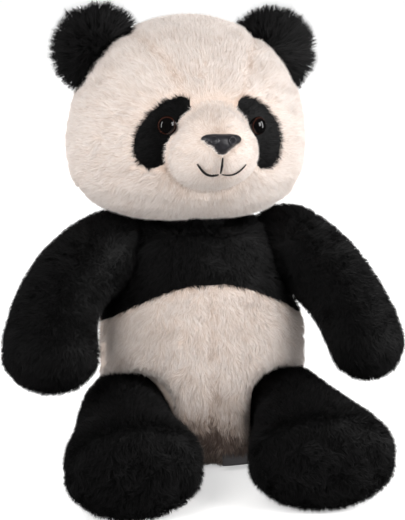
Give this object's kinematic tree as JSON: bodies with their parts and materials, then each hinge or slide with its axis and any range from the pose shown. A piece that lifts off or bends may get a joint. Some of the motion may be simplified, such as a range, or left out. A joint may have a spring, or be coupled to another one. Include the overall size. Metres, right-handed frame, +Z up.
{
  "type": "plush panda",
  "caption": "Seated plush panda with a turning and nodding head, flexing ears, swinging arms and splaying legs, resting on a flat weighted seat.",
  "frame": {"origin": "on the floor, in the middle of the flat seat panel the panda sits on", "axes": "+Z up, -Y out of the face and belly (the way the feet point), +X to the panda's own left"},
  "size_m": [0.2637, 0.2127, 0.31],
  "materials": {
    "cream_plush": "short dense cream pile fabric",
    "black_plush": "short dense black pile fabric, longer on the ears",
    "fill": "loose white polyester fibre fill",
    "pouch_cloth": "plain woven pouch holding plastic pellets",
    "eye_lens": "clear glossy dome over a brown ring and black pupil",
    "eye_back": "black moulded eye back with stem",
    "washer": "white moulded lock washer",
    "nose": "satin black moulded nose",
    "thread": "black embroidery thread",
    "label": "blank grey satin care label"
  },
  "bodies": {
    "torso": {"chest_front": "black_plush", "chest_back": "black_plush", "belly_left": "cream_plush", "belly_right": "cream_plush", "back_left": "cream_plush", "back_right": "cream_plush", "seat_panel": "cream_plush", "torso_fill": "fill", "pellet_pouch": "pouch_cloth", "care_label": "label"},
    "neck": {"neck_fill": "fill"},
    "head": {"head_crown": "cream_plush", "head_cheek_left": "cream_plush", "head_cheek_right": "cream_plush", "head_back_left": "cream_plush", "head_back_right": "cream_plush", "head_fill": "fill", "muzzle_left": "cream_plush", "muzzle_right": "cream_plush", "muzzle_fill": "fill", "nose": "nose", "nose_washer": "washer", "mouth_line_centre": "thread", "mouth_line_left": "thread", "mouth_line_right": "thread", "eye_patch_left": "black_plush", "eye_lens_left": "eye_lens", "eye_back_left": "eye_back", "eye_washer_left": "washer", "eye_patch_right": "black_plush", "eye_lens_right": "eye_lens", "eye_back_right": "eye_back", "eye_washer_right": "washer"},
    "ear_left": {"ear_front_left": "black_plush", "ear_back_left": "black_plush"},
    "ear_right": {"ear_front_right": "black_plush", "ear_back_right": "black_plush"},
    "shoulder_left": {"shoulder_fill_left": "fill"},
    "arm_left": {"arm_outer_left": "black_plush", "arm_inner_left": "black_plush", "arm_fill_left": "fill"},
    "shoulder_right": {"shoulder_fill_right": "fill"},
    "arm_right": {"arm_outer_right": "black_plush", "arm_inner_right": "black_plush", "arm_fill_right": "fill"},
    "hip_left": {"hip_fill_left": "fill"},
    "leg_left": {"leg_top_left": "black_plush", "leg_under_left": "black_plush", "foot_sole_left": "black_plush", "leg_fill_left": "fill"},
    "hip_right": {"hip_fill_right": "fill"},
    "leg_right": {"leg_top_right": "black_plush", "leg_under_right": "black_plush", "foot_sole_right": "black_plush", "leg_fill_right": "fill"}
  },
  "joints": [
    {"name": "head_turn", "type": "hinge", "parent": "torso", "child": "neck", "pos_m": [-0.005, 0.002, 0.17], "axis": [0, 0, 1], "range_deg": [-30, 30]},
    {"name": "head_nod", "type": "hinge", "parent": "neck", "child": "head", "pos_m": [-0.005, 0.002, 0.17], "axis": [1, 0, 0], "range_deg": [-12, 14]},
    {"name": "ear_flex_left", "type": "hinge", "parent": "head", "child": "ear_left", "pos_m": [0.0487, 0.0209, 0.2725], "axis": [0.7593, 0.1013, -0.6428], "range_deg": [-15, 15]},
    {"name": "ear_flex_right", "type": "hinge", "parent": "head", "child": "ear_right", "pos_m": [-0.0666, 0.0055, 0.2786], "axis": [0.8217, 0.1096, 0.5592], "range_deg": [-15, 15]},
    {"name": "arm_swing_left", "type": "hinge", "parent": "torso", "child": "shoulder_left", "pos_m": [0.061, 0.002, 0.1435], "axis": [-1, 0, 0], "range_deg": [-25, 50]},
    {"name": "arm_raise_left", "type": "hinge", "parent": "shoulder_left", "child": "arm_left", "pos_m": [0.061, 0.002, 0.1435], "axis": [0, -1, 0], "range_deg": [-8, 45]},
    {"name": "arm_swing_right", "type": "hinge", "parent": "torso", "child": "shoulder_right", "pos_m": [-0.061, 0.002, 0.1435], "axis": [-1, 0, 0], "range_deg": [-25, 50]},
    {"name": "arm_raise_right", "type": "hinge", "parent": "shoulder_right", "child": "arm_right", "pos_m": [-0.061, 0.002, 0.1435], "axis": [0, 1, 0], "range_deg": [-8, 45]},
    {"name": "leg_raise_left", "type": "hinge", "parent": "torso", "child": "hip_left", "pos_m": [0.0555, -0.02, 0.035], "axis": [-1, 0, 0], "range_deg": [-10, 18]},
    {"name": "leg_splay_left", "type": "hinge", "parent": "hip_left", "child": "leg_left", "pos_m": [0.0555, -0.02, 0.035], "axis": [0, 0, 1], "range_deg": [-6, 12]},
    {"name": "leg_raise_right", "type": "hinge", "parent": "torso", "child": "hip_right", "pos_m": [-0.0555, -0.02, 0.035], "axis": [-1, 0, 0], "range_deg": [-10, 18]},
    {"name": "leg_splay_right", "type": "hinge", "parent": "hip_right", "child": "leg_right", "pos_m": [-0.0555, -0.02, 0.035], "axis": [0, 0, -1], "range_deg": [-6, 12]}
  ]
}
